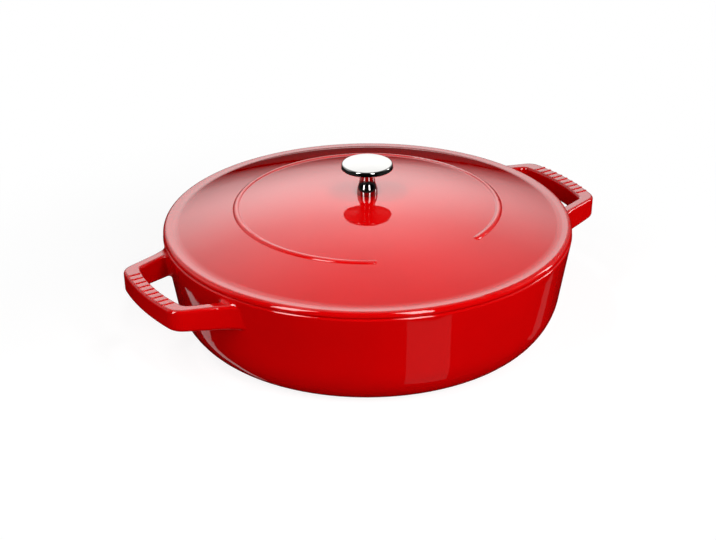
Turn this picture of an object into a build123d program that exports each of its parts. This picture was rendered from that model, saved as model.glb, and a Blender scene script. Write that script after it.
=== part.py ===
from build123d import *
import os
from math import asin, cos, hypot, pi, radians, sin, sqrt, tan

os.makedirs("parts", exist_ok=True)

# Braiser: a shallow cast pan with two loop handles, a domed lid that drops into the pan's mouth,
# and a turned knob held on the lid by one screw. The origin is the centre of the flat base,
# +Z is up, the handles lie along X and the open side of the lid's ring looks along -Y.

# Pan wall and floor
mouth_radius = 140.0
rim_width = 5.5
rim_height = 74.1
rim_round = 1.6
wall_flare = 7.8
corner_height = 27.9
corner_reach = 26.0
corner_pull_share = 0.47
side_wall = 4.6
floor_thickness = 4.8
foot_width = 14.0
foot_recess = 0.7

# Loop handles, cast in one with the pan
handle_standout = 33.6
handle_below_rim = 4.6
handle_root_height = 18.5
handle_under_rise = 3.3
handle_belly = 0.8
handle_draft = 2.0
bar_width = 11.4
bar_bow = 4.5
bar_half_length = 39.0
arm_width = 8.6
arm_angle = 18.4
arm_bury = 18.0
edge_tolerance = 0.05
flare_length = 1.5
flare_spread = 13.7
flare_sink = 1.5
bar_corner_round = 12.0
gap_corner_round = 5.0
root_round = 2.8
handle_edge_round = 2.2
under_round = 3.0

# Grip ribs across the bar of each handle
rib_count = 9
rib_pitch = 6.4
rib_width = 2.6
rib_length = 9.6
rib_height = 0.6
rib_sink = 0.8
rib_round = 1.0

# Lid casting
rim_show = 0.5
lid_wall = 4.0
seat_gap = 0.3
lip_width = 3.3
lip_rise = 3.4
lip_foot_round = 0.8
brim_width = 3.7
fold_width = 4.0
fold_fall = 0.7
crown_height = 25.1
ring_drop = 9.2
skirt_clearance = 1.6
skirt_depth = 4.2
skirt_width = 3.6
skirt_round = 1.0

# Raised open ring on the lid
ring_share = 0.639
bead_width = 4.2
bead_height = 1.0
bead_foot_round = 0.8
ring_opening = 50.8
ring_turn = -3.8

# Basting bumps under the lid
bump_width = 4.6
bump_height = 1.6
bump_first_ring = 34.0
bump_edge_margin = 29.0
bump_ring_count = 4
bump_spacing = 22.0

# Knob, seated on a flat in the middle of the lid
knob_height = 23.6
knob_radius = 18.5
knob_edge = 3.4
knob_crown = 0.6
knob_edge_taper = 0.7
knob_edge_round = 1.2
knob_rim_round = 0.5
knob_foot_radius = 7.3
knob_foot_side = 0.6
knob_neck_radius = 5.3
knob_neck_height = 13.0
knob_pull_share = 0.45
knob_under_rise = 1.6
knob_neck_round = 2.0
seat_radius = 9.0

# Screw and split washer that hold the knob from below
screw_diameter = 6.0
thread_fit = 0.1
screw_hole_clearance = 0.4
screw_grip = 12.0
bore_spare = 1.5
screw_tip_chamfer = 0.8
head_diameter = 11.5
head_height = 3.6
head_round = 1.5
slot_width = 1.4
slot_depth = 1.6
washer_bore_clearance = 0.2
washer_width = 2.4
washer_thickness = 1.6
washer_split = 1.2
washer_split_angle = 20.0
boss_radius = 11.0
boss_height = 1.6
cut_overrun = 1.0

rim_radius = mouth_radius + rim_width
wall_foot_radius = rim_radius - wall_flare
base_radius = wall_foot_radius - corner_reach
wall_lean = wall_flare / (rim_height - corner_height)
handle_reach = rim_radius + handle_standout
handle_top = rim_height - handle_below_rim
lid_radius = rim_radius - rim_show
ring_radius = ring_share * lid_radius
lid_seat = rim_height + seat_gap
lip_middle = lid_seat + lip_foot_round
lip_top = lip_middle + lip_rise
lid_top = rim_height + crown_height
boss_face = lid_top - lid_wall - boss_height


def wall_radius(height):
    """Outside radius of the straight part of the pan's wall at a height."""
    return rim_radius - wall_lean * (rim_height - height)


def round_corner(start, end, lean):
    """Curve from a level face up into a wall that leans outwards."""
    reach = end[0] - start[0]
    rise = end[1] - start[1]
    low_pull = (start[0] + corner_pull_share * reach, start[1])
    drop = (1 - corner_pull_share) * rise
    high_pull = (end[0] - lean * drop, end[1] - drop)
    return Bezier(start, low_pull, high_pull, end)


def loop_handle():
    """One loop handle that reaches along +X, its arms long enough to pass through the wall."""
    corner_x = handle_reach - bar_bow
    gap_x = corner_x - bar_width
    root_x = mouth_radius - arm_bury
    arm_slope = tan(radians(arm_angle))
    arm_cut = arm_width * hypot(1, arm_slope)

    def arm_edge(x):
        return bar_half_length + arm_slope * (corner_x - x)

    inner_root = arm_edge(root_x) - arm_cut
    inner_end = arm_edge(gap_x) - arm_cut
    flare_start = rim_radius + flare_length
    flare_reach = arm_edge(flare_start) + flare_spread
    root_bottom = handle_top - handle_root_height
    tip_bottom = root_bottom + handle_under_rise
    sunk_radius = wall_radius(root_bottom) - flare_sink
    sunk_x = sqrt(sunk_radius ** 2 - flare_reach ** 2)
    with BuildPart() as loop:
        with BuildSketch(Plane.XY.offset(handle_top)) as outline:
            with BuildLine():
                bar_end = (corner_x, bar_half_length)
                bar = ThreePointArc((corner_x, -bar_half_length), (handle_reach, 0), bar_end)
                arm = Line(bar @ 1, (flare_start, arm_edge(flare_start)))
                flare = TangentArc(arm @ 1, (sunk_x, flare_reach), tangent=arm % 1)
                Line(flare @ 1, (root_x, 0))
                mirror(about=Plane.XZ)
            make_face()
            fillet(outline.vertices().group_by(Axis.X)[-1], bar_corner_round)
        extrude(amount=-handle_root_height, taper=handle_draft)
        with BuildSketch(Plane.XY.offset(handle_top)) as gap:
            with BuildLine():
                inner = ThreePointArc((gap_x, -inner_end), (handle_reach - bar_width, 0), (gap_x, inner_end))
                Polyline(inner @ 1, (root_x, inner_root), (root_x, -inner_root), inner @ 0)
            make_face()
            fillet(gap.vertices().group_by(Axis.X)[-1], gap_corner_round)
        extrude(amount=-handle_root_height, taper=-handle_draft, mode=Mode.SUBTRACT)
        with BuildSketch(Plane.XZ):
            with BuildLine():
                middle = ((root_x + handle_reach) / 2, (root_bottom + tip_bottom) / 2 - handle_belly)
                under = ThreePointArc((root_x, root_bottom), middle, (handle_reach, tip_bottom))
                Polyline(under @ 1, (handle_reach, handle_top), (root_x, handle_top), under @ 0)
            make_face()
        extrude(amount=flare_reach, both=True, mode=Mode.INTERSECT)
        top_edges = loop.faces().sort_by(Axis.Z)[-1].edges()
        fillet(top_edges.filter_by(lambda edge: (edge @ 0.5).X > sunk_x), handle_edge_round)
        low_edges = loop.faces().sort_by(Axis.Z)[0].edges()
        fillet(low_edges.filter_by(lambda edge: (edge @ 0.5).X > sunk_x), under_round)
    return loop.part


def grip_ribs():
    """Ribs across the bar of the handle that reaches along +X."""
    with BuildPart() as ribs:
        with BuildSketch(Plane.XY.offset(handle_top - rib_sink)):
            for index in range(rib_count):
                y = (index - (rib_count - 1) / 2) * rib_pitch
                x = handle_reach - bar_width / 2 - bar_bow * (y / bar_half_length) ** 2
                with Locations((x, y)):
                    SlotOverall(rib_length, rib_width)
        extrude(amount=rib_sink + rib_height)
        fillet(ribs.faces().group_by(Axis.Z)[-1].edges(), rib_round)
    return ribs.part


def where_loops_meet_wall(edge):
    """True for the edges where an arm of a loop leaves the pan's wall."""
    points = [edge @ share for share in (0.1, 0.5, 0.9)]
    on_wall = all(abs(hypot(point.X, point.Y) - wall_radius(point.Z)) < edge_tolerance for point in points)
    beside_arm = all(abs(point.Y) > bar_half_length / 2 for point in points)
    return on_wall and beside_arm and corner_height < points[1].Z < rim_height - rim_round


with BuildPart() as pan:
    with BuildSketch(Plane.XZ):
        with BuildLine():
            corner = round_corner((base_radius, 0), (wall_foot_radius, corner_height), wall_lean)
            Polyline(corner @ 1, (rim_radius, rim_height), (0, rim_height), (0, 0), corner @ 0)
        make_face()
    revolve()
    loop = loop_handle()
    add(loop)
    add(loop.rotate(Axis.Z, 180))
    fillet(pan.edges().filter_by(where_loops_meet_wall), root_round)
    with BuildSketch(Plane.XZ):
        with BuildLine():
            inner_foot_radius = wall_foot_radius - side_wall
            inner_lean = (mouth_radius - inner_foot_radius) / (rim_height - corner_height)
            floor_radius = inner_foot_radius - corner_reach + floor_thickness / 2
            inner_foot = (inner_foot_radius, corner_height)
            bowl = round_corner((floor_radius, floor_thickness), inner_foot, inner_lean)
            top = rim_height + cut_overrun
            mouth = (mouth_radius + inner_lean * cut_overrun, top)
            Polyline(bowl @ 1, mouth, (0, top), (0, floor_thickness), bowl @ 0)
        make_face()
    revolve(mode=Mode.SUBTRACT)
    fillet(pan.faces().sort_by(Axis.Z)[-1].edges(), rim_round)
    with BuildSketch(Plane.XY):
        Circle(base_radius - foot_width)
    extrude(amount=foot_recess, taper=45, mode=Mode.SUBTRACT)
    ribs = grip_ribs()
    add(ribs)
    add(ribs.rotate(Axis.Z, 180))
pan.part.label = "pan"
export_step(pan.part, "parts/pan.step")

crown_reach = ring_radius - seat_radius
crown_arc_radius = (crown_reach ** 2 + ring_drop ** 2) / (2 * ring_drop)
brim_start = lid_radius - lip_width - brim_width
fold_start = brim_start - fold_width
fold_height = lip_top + fold_fall
shoulder_fall = lid_top - ring_drop - fold_height
shoulder_chord = hypot(fold_start - ring_radius, shoulder_fall)


def under_side(point, direction):
    """The point one lid wall below a point of the upper side, square to its direction."""
    return (point.X + lid_wall * direction.Y, point.Y - lid_wall * direction.X)


def under_height(radius):
    """Height of the lid's under side at a radius."""
    if radius < ring_radius:
        middle_radius = seat_radius
        arc_radius = crown_arc_radius
        middle_height = lid_top - arc_radius
    else:
        ring_slope = asin(crown_reach / crown_arc_radius)
        chord_slope = asin(shoulder_fall / shoulder_chord)
        arc_radius = shoulder_chord / (2 * sin(chord_slope - ring_slope))
        middle_radius = ring_radius - arc_radius * sin(ring_slope)
        middle_height = lid_top - ring_drop - arc_radius * cos(ring_slope)
    return middle_height + sqrt((arc_radius - lid_wall) ** 2 - (radius - middle_radius) ** 2)


def where_ring_meets_dome(edge):
    """True for the edges along the foot of the raised ring."""
    points = [edge @ share for share in (0.1, 0.5, 0.9)]
    at_ring = all(abs(hypot(point.X, point.Y) - ring_radius) < bead_width for point in points)
    return at_ring and all(point.Z > lid_top - ring_drop - bead_width / 2 for point in points)


def basting_bump():
    """One round bump that hangs from the lid's under side, with a root inside the casting."""
    with BuildPart() as bump:
        with BuildSketch(Plane.XZ):
            with BuildLine():
                cap = TangentArc((0, -bump_height), (bump_width / 2, 0), tangent=(1, 0))
                Polyline(cap @ 1, (bump_width / 2, lid_wall / 2), (0, lid_wall / 2), cap @ 0)
            make_face()
        revolve()
    return bump.part


with BuildPart() as lid:
    with BuildSketch(Plane.XZ) as section:
        with BuildLine():
            flat = Line((0, lid_top), (seat_radius, lid_top))
            crown = TangentArc(flat @ 1, (ring_radius, lid_top - ring_drop), tangent=flat % 1)
            shoulder = TangentArc(crown @ 1, (fold_start, fold_height), tangent=crown % 1)
            fold = TangentArc(shoulder @ 1, (brim_start, lip_top), tangent=shoulder % 1)
            brim = TangentArc(fold @ 1, (lid_radius - lip_width, lip_top), tangent=fold % 1)
            lip = TangentArc(brim @ 1, (lid_radius, lip_middle), tangent=brim % 1)
            foot = TangentArc(lip @ 1, (lid_radius - lip_foot_round, lid_seat), tangent=lip % 1)
            skirt_radius = mouth_radius - skirt_clearance
            skirt_bottom = rim_height - skirt_depth
            skirt_foot = (skirt_radius - skirt_width, skirt_bottom)
            under_edge = under_side(shoulder @ 1, shoulder % 1)
            under_ring = under_side(crown @ 1, crown % 1)
            under_middle = (seat_radius, lid_top - lid_wall)
            Polyline(foot @ 1, (skirt_radius, lid_seat), (skirt_radius, skirt_bottom), skirt_foot, under_edge)
            TangentArc(under_edge, under_ring, tangent=shoulder % 1 * -1)
            TangentArc(under_ring, under_middle, tangent=crown % 1 * -1)
            Polyline(under_middle, (0, lid_top - lid_wall), (0, lid_top))
        make_face()
        fillet(section.vertices().group_by(Axis.Y)[0], skirt_round)
    revolve()
    with BuildSketch(Plane.XY.offset(boss_face)):
        Circle(boss_radius)
    extrude(amount=boss_height + lid_wall / 2)
    with BuildSketch(Plane.XY.offset(boss_face - cut_overrun)):
        Circle(screw_diameter / 2 + screw_hole_clearance)
    extrude(amount=boss_height + lid_wall + 2 * cut_overrun, mode=Mode.SUBTRACT)
    bead_radius = (bead_width ** 2 / 4 + bead_height ** 2) / (2 * bead_height)
    bead_middle = lid_top - ring_drop + bead_height - bead_radius
    ring_start = radians(ring_turn + ring_opening / 2 - 90)
    ring_side = Plane(origin=(0, 0, 0), x_dir=(cos(ring_start), sin(ring_start), 0),
                      z_dir=(sin(ring_start), -cos(ring_start), 0))
    with BuildSketch(ring_side):
        with Locations((ring_radius, bead_middle)):
            Circle(bead_radius)
    revolve(revolution_arc=360 - ring_opening)
    for side in (-1, 1):
        end = radians(ring_turn + side * ring_opening / 2 - 90)
        with Locations((ring_radius * cos(end), ring_radius * sin(end), bead_middle)):
            Sphere(bead_radius)
    ring_foot = lid.edges().filter_by(GeomType.BSPLINE).filter_by(where_ring_meets_dome)
    fillet(ring_foot, bead_foot_round)
    bump = basting_bump()
    ring_step = (fold_start - bump_edge_margin - bump_first_ring) / (bump_ring_count - 1)
    for ring in range(bump_ring_count):
        radius = bump_first_ring + ring * ring_step
        count = round(2 * pi * radius / bump_spacing)
        with PolarLocations(radius, count):
            with Locations((0, 0, under_height(radius))):
                add(bump)
lid.part.label = "lid"
export_step(lid.part, "parts/lid.step")

with BuildPart() as knob:
    with BuildSketch(Plane.XZ) as section:
        with BuildLine():
            neck_pull = knob_pull_share * knob_neck_height
            foot_top = lid_top + knob_foot_side
            neck_top = lid_top + knob_neck_height
            edge_top = lid_top + knob_height - knob_crown
            edge_bottom = edge_top - knob_edge
            foot = Line((0, lid_top), (knob_foot_radius, lid_top))
            side = Line(foot @ 1, (knob_foot_radius, foot_top))
            waist = Bezier(side @ 1, (knob_foot_radius, foot_top + neck_pull),
                           (knob_neck_radius, neck_top - neck_pull), (knob_neck_radius, neck_top))
            neck_corner = (knob_neck_radius, edge_bottom - knob_under_rise)
            top_corner = (knob_radius - knob_edge_taper, edge_top)
            Polyline(waist @ 1, neck_corner, (knob_radius, edge_bottom), top_corner)
            crown = TangentArc((0, lid_top + knob_height), top_corner, tangent=(1, 0))
            Line(crown @ 0, foot @ 0)
        make_face()
        fillet(section.vertices().sort_by_distance(top_corner)[0], knob_edge_round)
        fillet(section.vertices().group_by(Axis.X)[-1], knob_rim_round)
        fillet(section.vertices().sort_by_distance(neck_corner)[0], knob_neck_round)
    revolve()
    with BuildSketch(Plane.XY.offset(lid_top)):
        Circle(screw_diameter / 2 + thread_fit)
    extrude(amount=screw_grip + bore_spare, mode=Mode.SUBTRACT)
knob.part.label = "knob"
export_step(knob.part, "parts/knob.step")

washer_face = boss_face - washer_thickness
with BuildPart() as lock_washer:
    with BuildSketch(Plane.XY.offset(washer_face)):
        washer_bore = screw_diameter / 2 + washer_bore_clearance
        Circle(washer_bore + washer_width)
        Circle(washer_bore, mode=Mode.SUBTRACT)
    extrude(amount=washer_thickness)
    split_middle = washer_bore + washer_width / 2
    split_place = (split_middle, 0, washer_face + washer_thickness / 2)
    with Locations(Location(split_place, (washer_split_angle, 0, 0))):
        Box(2 * washer_width, washer_split, 3 * washer_thickness, mode=Mode.SUBTRACT)
lock_washer.part.label = "lock_washer"
export_step(lock_washer.part, "parts/lock_washer.step")

with BuildPart() as knob_screw:
    with BuildSketch(Plane.XY.offset(washer_face - head_height)):
        Circle(head_diameter / 2)
    extrude(amount=head_height)
    fillet(knob_screw.edges().sort_by(Axis.Z)[0], head_round)
    with BuildSketch(Plane.XY.offset(washer_face - head_height)):
        Rectangle(head_diameter + cut_overrun, slot_width)
    extrude(amount=slot_depth, mode=Mode.SUBTRACT)
    with BuildSketch(Plane.XY.offset(washer_face)):
        Circle(screw_diameter / 2)
    extrude(amount=lid_top + screw_grip - washer_face)
    chamfer(knob_screw.edges().sort_by(Axis.Z)[-1], screw_tip_chamfer)
knob_screw.part.label = "knob_screw"
export_step(knob_screw.part, "parts/knob_screw.step")
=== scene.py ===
from math import cos, pi, radians, sin

import bpy
from mathutils import Matrix, Vector


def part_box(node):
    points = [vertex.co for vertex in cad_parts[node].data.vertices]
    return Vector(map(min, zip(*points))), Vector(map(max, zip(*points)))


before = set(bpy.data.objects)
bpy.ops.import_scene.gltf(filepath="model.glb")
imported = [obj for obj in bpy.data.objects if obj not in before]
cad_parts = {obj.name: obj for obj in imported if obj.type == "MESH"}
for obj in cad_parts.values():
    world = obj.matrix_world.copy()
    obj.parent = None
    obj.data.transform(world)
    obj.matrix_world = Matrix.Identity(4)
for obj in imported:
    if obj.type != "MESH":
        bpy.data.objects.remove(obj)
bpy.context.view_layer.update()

# A red enamelled braiser. Every form comes from the CAD frame; this script gives the finishes,
# the floor, the studio light and the camera. Lengths are in metres.

# Camera, as fitted to the photograph's ellipses
SENSOR_WIDTH = 36.0
CLIP_END = 50.0
LENS = 96.36
CAMERA_TURN = 31.71
CAMERA_ELEVATION = 27.54
CAMERA_DISTANCE = 1.3986
CAMERA_ROLL = -0.447
AIM_RIGHT = -0.0070
AIM_UP = 0.0387

# Sizes read from the frame
RIM_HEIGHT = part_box("pan")[1].z
LID_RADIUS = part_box("lid")[1].y


def in_view(right, back, up):
    """A place given from the camera's side: to its right, away from it, and up."""
    turn = radians(CAMERA_TURN)
    return Vector((right * cos(turn) + back * sin(turn), -right * sin(turn) + back * cos(turn), up))


def make_camera():
    data = bpy.data.cameras.new("camera")
    data.sensor_fit = "HORIZONTAL"
    data.sensor_width = SENSOR_WIDTH
    data.lens = LENS
    data.clip_end = CLIP_END
    elevation = radians(CAMERA_ELEVATION)
    place = in_view(0, -CAMERA_DISTANCE * cos(elevation), CAMERA_DISTANCE * sin(elevation))
    aim = in_view(AIM_RIGHT, 0, AIM_UP)
    camera = bpy.data.objects.new("camera", data)
    bpy.context.scene.collection.objects.link(camera)
    turned = (aim - place).to_track_quat("-Z", "Y").to_matrix().to_4x4()
    rolled = Matrix.Rotation(radians(CAMERA_ROLL), 4, "Z")
    camera.matrix_world = Matrix.Translation(place) @ turned @ rolled
    bpy.context.scene.camera = camera


# Places of a mix node's colour sockets
MIX_FIRST = 6
MIX_SECOND = 7
MIX_RESULT = 2


class Nodes:
    """Short calls for the nodes of one material or world."""

    def __init__(self, owner):
        owner.use_nodes = True
        self.tree = owner.node_tree
        self.tree.nodes.clear()

    def add(self, kind, inputs=None, **settings):
        node = self.tree.nodes.new(kind)
        for name, value in settings.items():
            setattr(node, name, value)
        for name, value in (inputs or {}).items():
            self.feed(value, node.inputs[name])
        return node

    def feed(self, value, socket):
        if isinstance(value, bpy.types.NodeSocket):
            self.tree.links.new(value, socket)
        else:
            socket.default_value = value

    def math(self, operation, first, second=0.0):
        return self.add("ShaderNodeMath", {0: first, 1: second}, operation=operation).outputs[0]

    def ramp(self, value, start, end, low=0.0, high=1.0):
        """Smooth step of a value from low at start to high at end."""
        inputs = {"Value": value, "From Min": start, "From Max": end, "To Min": low, "To Max": high}
        node = self.add("ShaderNodeMapRange", inputs, interpolation_type="SMOOTHSTEP")
        return node.outputs["Result"]

    def curve(self, value, stops):
        """Smooth curve through stops, each a value and its level, all from 0 to 1."""
        node = self.add("ShaderNodeFloatCurve", {"Value": value})
        points = node.mapping.curves[0].points
        for stop in stops[1:-1]:
            points.new(*stop)
        points[0].location = stops[0]
        points[-1].location = stops[-1]
        node.mapping.update()
        return node.outputs[0]

    def mix(self, share, first, second):
        """Mix of two colours."""
        node = self.add("ShaderNodeMix", {"Factor": share}, data_type="RGBA")
        self.feed(first, node.inputs[MIX_FIRST])
        self.feed(second, node.inputs[MIX_SECOND])
        return node.outputs[MIX_RESULT]

    def blend(self, share, first, second):
        """As mix, for plain numbers."""
        inputs = {"Factor": share, "A": first, "B": second}
        return self.add("ShaderNodeMix", inputs, data_type="FLOAT").outputs[0]

    def noise(self, place, scale, detail=2.0):
        inputs = {"Vector": place, "Scale": scale, "Detail": detail}
        return self.add("ShaderNodeTexNoise", inputs).outputs["Fac"]

    def bump(self, height):
        inputs = {"Height": height, "Strength": 1.0, "Distance": 1.0}
        return self.add("ShaderNodeBump", inputs).outputs["Normal"]

    def dot(self, first, second):
        inputs = {0: first, 1: second}
        return self.add("ShaderNodeVectorMath", inputs, operation="DOT_PRODUCT").outputs["Value"]

    def surface(self, shader):
        self.add("ShaderNodeOutputMaterial", {"Surface": shader})


    def mix_shaders(self, share, first, second):
        return self.add("ShaderNodeMixShader", {0: share, 1: first, 2: second}).outputs[0]

    def emission(self, strength):
        """Plain white light."""
        return self.add("ShaderNodeEmission", {"Color": WHITE, "Strength": strength}).outputs[0]


def grey(level):
    return (level, level, level, 1.0)


WHITE = grey(1.0)

# Enamel: colours, then noise scales, depths in metres and roughness from smooth to rough
RED = (0.565, 0.0003, 0.0007, 1.0)
DEEP_RED = (0.540, 0.0002, 0.0005, 1.0)
BLACK_ENAMEL = (0.016, 0.0155, 0.015, 1.0)
BLACK_SPECK = (0.030, 0.029, 0.028, 1.0)
ENAMEL_IOR = 1.7
CLOUD_SCALE = 26.0
RIPPLE_SCALE = 120.0
RIPPLE_DEPTH = 0.00004
GRAIN_SCALE = 1500.0
GRAIN_DETAIL = 3.0
GRAIN_DEPTH = 0.00012
GLOSS_ROUGHNESS = (0.045, 0.065)
MATTE_ROUGHNESS = (0.42, 0.55)

# The noise levels between which a mix or a roughness runs
NOISE_MIDDLE = (0.3, 0.7)
RED_CLOUDS = (0.35, 0.72)
BLACK_SPECKS = (0.5, 0.72)

# The enamel is black inside the middle of the pan's wall (share of the rim's height, radius) ...
WALL_MIDDLE = [(0.0, 0.100), (0.06, 0.1175), (0.10, 0.1228), (0.18, 0.1292), (0.26, 0.1328),
               (0.34, 0.1349), (0.486, 0.1369), (0.607, 0.1385), (0.81, 0.1409), (1.0, 0.1427)]
BOWL_LOWEST = 0.0025
BASE_EDGE = 0.0006

# ... and below the middle of the lid's casting (share of the lid's radius, height)
LID_MIDDLE = [(0.0, 0.0972), (0.11, 0.0971), (0.22, 0.0964), (0.33, 0.0952), (0.44, 0.0932),
              (0.55, 0.0906), (0.662, 0.0868), (0.717, 0.0848), (0.772, 0.0825), (0.828, 0.0805),
              (0.883, 0.0774), (0.938, 0.0766), (1.0, 0.0763)]
LID_RED_EDGE = 0.004


def enamel(name, black):
    """Gloss red enamel, and matte black where the mask from black(nodes, height, radius) is 1."""
    material = bpy.data.materials.new(name)
    nodes = Nodes(material)
    place = nodes.add("ShaderNodeTexCoord").outputs["Object"]
    axes = nodes.add("ShaderNodeSeparateXYZ", {0: place}).outputs
    across = nodes.math("POWER", axes["X"], 2.0)
    along = nodes.math("POWER", axes["Y"], 2.0)
    radius = nodes.math("SQRT", nodes.math("ADD", across, along))
    mask = black(nodes, axes["Z"], radius)
    clouds = nodes.noise(place, CLOUD_SCALE)
    ripple = nodes.noise(place, RIPPLE_SCALE)
    grain = nodes.noise(place, GRAIN_SCALE, GRAIN_DETAIL)
    red = nodes.mix(nodes.ramp(clouds, *RED_CLOUDS), RED, DEEP_RED)
    dark = nodes.mix(nodes.ramp(grain, *BLACK_SPECKS), BLACK_ENAMEL, BLACK_SPECK)
    gloss = nodes.ramp(clouds, *NOISE_MIDDLE, *GLOSS_ROUGHNESS)
    matte = nodes.ramp(grain, *NOISE_MIDDLE, *MATTE_ROUGHNESS)
    smooth = nodes.math("MULTIPLY", ripple, RIPPLE_DEPTH)
    rough = nodes.math("MULTIPLY", nodes.math("MULTIPLY", grain, mask), GRAIN_DEPTH)
    inputs = {"Base Color": nodes.mix(mask, red, dark),
              "Roughness": nodes.blend(mask, gloss, matte),
              "IOR": ENAMEL_IOR,
              "Normal": nodes.bump(nodes.math("ADD", smooth, rough))}
    nodes.surface(nodes.add("ShaderNodeBsdfPrincipled", inputs).outputs[0])
    return material


def pan_black(nodes, height, radius):
    """Black inside the pan, on the part of the rim that the lid covers, and under the foot ring."""
    wall_middle = nodes.curve(nodes.math("DIVIDE", height, RIM_HEIGHT), WALL_MIDDLE)
    inside = nodes.math("LESS_THAN", radius, wall_middle)
    bowl = nodes.math("MULTIPLY", inside, nodes.math("GREATER_THAN", height, BOWL_LOWEST))
    base = nodes.math("LESS_THAN", height, BASE_EDGE)
    return nodes.math("MAXIMUM", bowl, base)


def lid_black(nodes, height, radius):
    """Black on the lid's under side and skirt."""
    casting_middle = nodes.curve(nodes.math("DIVIDE", radius, LID_RADIUS), LID_MIDDLE)
    inside = nodes.math("LESS_THAN", radius, LID_RADIUS - LID_RED_EDGE)
    below = nodes.math("MULTIPLY", nodes.math("LESS_THAN", height, casting_middle), inside)
    skirt = nodes.math("LESS_THAN", height, RIM_HEIGHT)
    return nodes.math("MAXIMUM", below, skirt)


# Metals
NICKEL = (0.43, 0.425, 0.415, 1.0)
NICKEL_ROUGHNESS = 0.05
SCREW_STEEL = (0.55, 0.55, 0.54, 1.0)
SCREW_ROUGHNESS = 0.22
WASHER_STEEL = (0.50, 0.50, 0.49, 1.0)
WASHER_ROUGHNESS = 0.3
MARK_SCALE = 220.0
MARK_DEPTH = 0.000006
TURNED_STRETCH = 9.0
PLAIN_STRETCH = 1.0
METAL_CLOUD_SCALE = 90.0
METAL_CLOUD_TINT = 0.92
METAL_CLOUD_ROUGHER = 1.4


def metal(name, colour, roughness, stretch):
    """Bright metal with fine marks round the axis and faint clouds in the finish."""
    material = bpy.data.materials.new(name)
    nodes = Nodes(material)
    place = nodes.add("ShaderNodeTexCoord").outputs["Object"]
    scaled = {"Vector": place, "Scale": (1.0, 1.0, stretch)}
    stretched = nodes.add("ShaderNodeMapping", scaled).outputs[0]
    marks = nodes.noise(stretched, MARK_SCALE)
    clouds = nodes.noise(place, METAL_CLOUD_SCALE)
    tint = tuple(METAL_CLOUD_TINT * part for part in colour[:3]) + (1.0,)
    rougher = METAL_CLOUD_ROUGHER * roughness
    inputs = {"Base Color": nodes.mix(clouds, colour, tint),
              "Metallic": 1.0,
              "Roughness": nodes.ramp(clouds, *NOISE_MIDDLE, roughness, rougher),
              "Normal": nodes.bump(nodes.math("MULTIPLY", marks, MARK_DEPTH))}
    nodes.surface(nodes.add("ShaderNodeBsdfPrincipled", inputs).outputs[0])
    return material


def dress(node, material):
    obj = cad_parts[node]
    obj.data.materials.clear()
    obj.data.materials.append(material)


# Floor: bounce colour, what the camera sees near the object, and the dark table in the gloss
FLOOR_SIZE = 8.0
FLOOR_COLOUR = grey(0.50)
FLOOR_SEEN = grey(0.23)
FLOOR_GLOW = 0.86
SHADOW_RADIUS = 0.20
WHITE_RADIUS = 0.42
TABLE_DARK = 0.002
TABLE_FAR = 0.03
TABLE_FAR_RADIUS = 0.80

# Pale cards on the table that show in the pan's wall: name, brightness, and corners to the
# camera's right and back
CARD_HEIGHT = 0.0005
CARDS = [
    ("front_card", 0.11, [(0.028, -0.138), (0.054, -0.205), (0.114, -0.178), (0.060, -0.125)]),
    ("right_card", 0.09, [(0.130, -0.057), (0.205, 0.014), (0.196, -0.016), (0.134, -0.065)]),
    ("left_card", 0.60, [(-0.188, 0.002), (-0.175, -0.024), (-0.146, -0.052), (-0.121, -0.069),
                         (-0.098, -0.087), (-0.070, -0.103), (-0.099, -0.091), (-0.121, -0.077),
                         (-0.149, -0.066), (-0.179, -0.042), (-0.188, -0.020)]),
]


def make_floor():
    """White to the camera with the object's soft shadow, and a dark table in the object's gloss."""
    half = FLOOR_SIZE / 2
    mesh = bpy.data.meshes.new("floor")
    corners = [(-half, -half, 0), (half, -half, 0), (half, half, 0), (-half, half, 0)]
    mesh.from_pydata(corners, [], [(0, 1, 2, 3)])
    floor = bpy.data.objects.new("floor", mesh)
    bpy.context.scene.collection.objects.link(floor)
    material = bpy.data.materials.new("floor")
    nodes = Nodes(material)
    rays = nodes.add("ShaderNodeLightPath").outputs
    place = nodes.add("ShaderNodeNewGeometry").outputs["Position"]
    length = nodes.add("ShaderNodeVectorMath", {0: place}, operation="LENGTH")
    distance = length.outputs["Value"]
    lit = nodes.add("ShaderNodeBsdfDiffuse", {"Color": FLOOR_COLOUR}).outputs[0]
    shaded = nodes.add("ShaderNodeBsdfDiffuse", {"Color": FLOOR_SEEN}).outputs[0]
    near = nodes.add("ShaderNodeAddShader", {0: shaded, 1: nodes.emission(FLOOR_GLOW)}).outputs[0]
    fade = nodes.ramp(distance, SHADOW_RADIUS, WHITE_RADIUS)
    dim = nodes.ramp(distance, SHADOW_RADIUS, TABLE_FAR_RADIUS, TABLE_DARK, TABLE_FAR)
    glossy = nodes.math("MAXIMUM", rays["Is Glossy Ray"], rays["Is Transmission Ray"])
    white = nodes.mix_shaders(fade, near, nodes.emission(1.0))
    seen = nodes.mix_shaders(rays["Is Camera Ray"], lit, white)
    nodes.surface(nodes.mix_shaders(glossy, seen, nodes.emission(dim)))
    mesh.materials.append(material)


def card(name, brightness, corners):
    """A pale card on the table that only gloss sees."""
    mesh = bpy.data.meshes.new(name)
    places = [in_view(right, back, CARD_HEIGHT) for right, back in corners]
    mesh.from_pydata(places, [], [range(len(corners))])
    sheet = bpy.data.objects.new(name, mesh)
    bpy.context.scene.collection.objects.link(sheet)
    material = bpy.data.materials.new(name)
    nodes = Nodes(material)
    nodes.surface(nodes.emission(brightness))
    mesh.materials.append(material)
    sheet.visible_camera = False
    sheet.visible_diffuse = False
    sheet.visible_shadow = False


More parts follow.
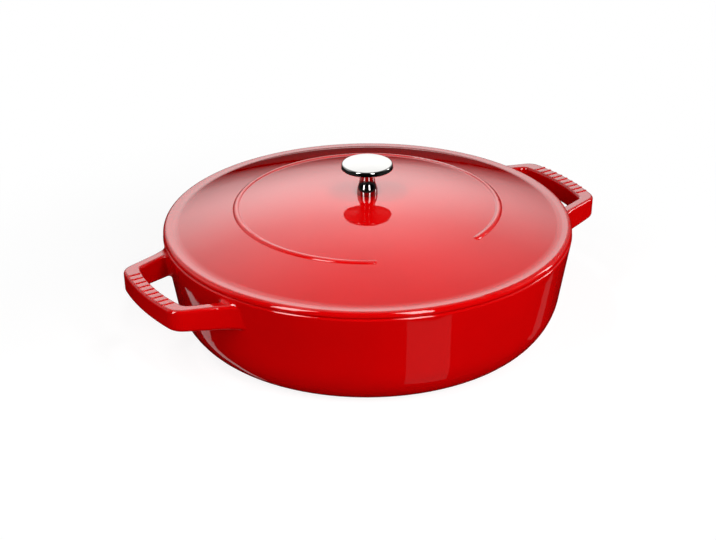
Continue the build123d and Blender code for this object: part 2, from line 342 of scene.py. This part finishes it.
# World: what the gloss sees goes by the sine of the height angle, as shares of the peak
WORLD_LIGHT = 0.10
GLOSS_PEAK = 2.25
GLOSS_SHARES = [(0.0, 0.01), (0.087, 0.22), (0.122, 0.38), (0.19, 0.60), (0.26, 0.82),
                (0.32, 0.955), (0.39, 1.0), (0.47, 0.93), (0.56, 0.76), (0.643, 0.645),
                (0.72, 0.51), (0.80, 0.35), (0.85, 0.27), (1.0, 0.20)]
RIGHT_SHARE = 0.15
LEFT_SHARE = 0.30
FRONT_SHARE = 0.01

# Where the bright wall gives way to each side and to the front, as cosines
RIGHT_EDGE = (0.0, 0.55)
LEFT_EDGE = (-0.65, -0.12)
FRONT_EDGE = (-0.3, 0.1)


def make_world():
    """White to the camera; to gloss a bright wall behind the object, dark on the camera's side."""
    world = bpy.data.worlds.new("studio")
    bpy.context.scene.world = world
    nodes = Nodes(world)
    rays = nodes.add("ShaderNodeLightPath").outputs
    direction = nodes.add("ShaderNodeTexCoord").outputs["Generated"]
    right = nodes.dot(direction, tuple(in_view(1, 0, 0)))
    back = nodes.dot(direction, tuple(in_view(0, 1, 0)))
    up = nodes.add("ShaderNodeSeparateXYZ", {0: direction}).outputs["Z"]
    wall = nodes.curve(up, GLOSS_SHARES)
    right_side = nodes.ramp(right, *RIGHT_EDGE, 1.0, RIGHT_SHARE)
    left_side = nodes.ramp(right, *LEFT_EDGE, LEFT_SHARE, 1.0)
    front = nodes.ramp(back, *FRONT_EDGE, FRONT_SHARE, 1.0)
    sides = nodes.math("MULTIPLY", right_side, left_side)
    share = nodes.math("MULTIPLY", nodes.math("MULTIPLY", wall, sides), front)
    mirrored = nodes.math("MULTIPLY", share, GLOSS_PEAK)
    glossy = nodes.math("MAXIMUM", rays["Is Glossy Ray"], rays["Is Transmission Ray"])
    light = nodes.blend(glossy, WORLD_LIGHT, mirrored)
    level = nodes.blend(rays["Is Camera Ray"], light, 1.0)
    glow = nodes.add("ShaderNodeBackground", {"Color": WHITE, "Strength": level}).outputs[0]
    nodes.add("ShaderNodeOutputWorld", {"Surface": glow})


# Softboxes: name, azimuth and height angle in degrees, distance, width, height, brightness, and
# whether gloss shows it. Azimuth 0 is over the camera and grows to its right.
SOFTBOXES = [
    ("front_right", 27, 31, 1.6, 0.36, 1.45, 7.2, True),
    ("front_left", -43, 31, 1.6, 0.36, 1.45, 7.0, True),
    ("right_strip", 108, 20, 1.5, 0.16, 0.80, 7.0, True),
    ("right_fill", 65, 18, 1.8, 1.00, 0.60, 8.5, False),
]

# Spots on the middle of the lid: name, place to the camera's right, back and up, cone, watts
SPOTS = [
    ("left_spot", (-0.50, -0.25, 1.15), 11, 46.0),
    ("right_spot", (0.45, -0.25, 1.15), 11, 40.0),
]
SPOT_RADIUS = 0.12
SPOT_AIM = (-0.01, -0.038, 0.09)


def hang(name, data, start, aim):
    """Hang a lamp at a place so that it faces another; the camera doesn't see it."""
    lamp = bpy.data.objects.new(name, data)
    bpy.context.scene.collection.objects.link(lamp)
    turned = (aim - start).to_track_quat("-Z", "Y").to_matrix().to_4x4()
    lamp.matrix_world = Matrix.Translation(start) @ turned
    lamp.visible_camera = False
    return lamp


def softbox(name, azimuth, height_angle, distance, width, height, brightness, mirrored):
    """A flat lamp that faces the object."""
    turn, rise = radians(azimuth), radians(height_angle)
    start = in_view(sin(turn) * cos(rise), -cos(turn) * cos(rise), sin(rise)) * distance
    data = bpy.data.lights.new(name, "AREA")
    data.shape = "RECTANGLE"
    data.size = width
    data.size_y = height
    data.energy = brightness * pi * width * height
    hang(name, data, start, Vector()).visible_glossy = mirrored


def spotlight(name, place, cone, watts):
    """A soft-edged spot from above that gloss doesn't show."""
    data = bpy.data.lights.new(name, "SPOT")
    data.energy = watts
    data.spot_size = radians(cone)
    data.spot_blend = 1.0
    data.shadow_soft_size = SPOT_RADIUS
    hang(name, data, in_view(*place), in_view(*SPOT_AIM)).visible_glossy = False


bpy.context.scene.view_settings.view_transform = "Standard"
make_camera()
make_floor()
make_world()
for settings in CARDS:
    card(*settings)
for settings in SOFTBOXES:
    softbox(*settings)
for settings in SPOTS:
    spotlight(*settings)

dress("pan", enamel("pan_enamel", pan_black))
dress("lid", enamel("lid_enamel", lid_black))
dress("knob", metal("nickel_plate", NICKEL, NICKEL_ROUGHNESS, TURNED_STRETCH))
dress("knob_screw", metal("screw_steel", SCREW_STEEL, SCREW_ROUGHNESS, TURNED_STRETCH))
dress("lock_washer", metal("washer_steel", WASHER_STEEL, WASHER_ROUGHNESS, PLAIN_STRETCH))
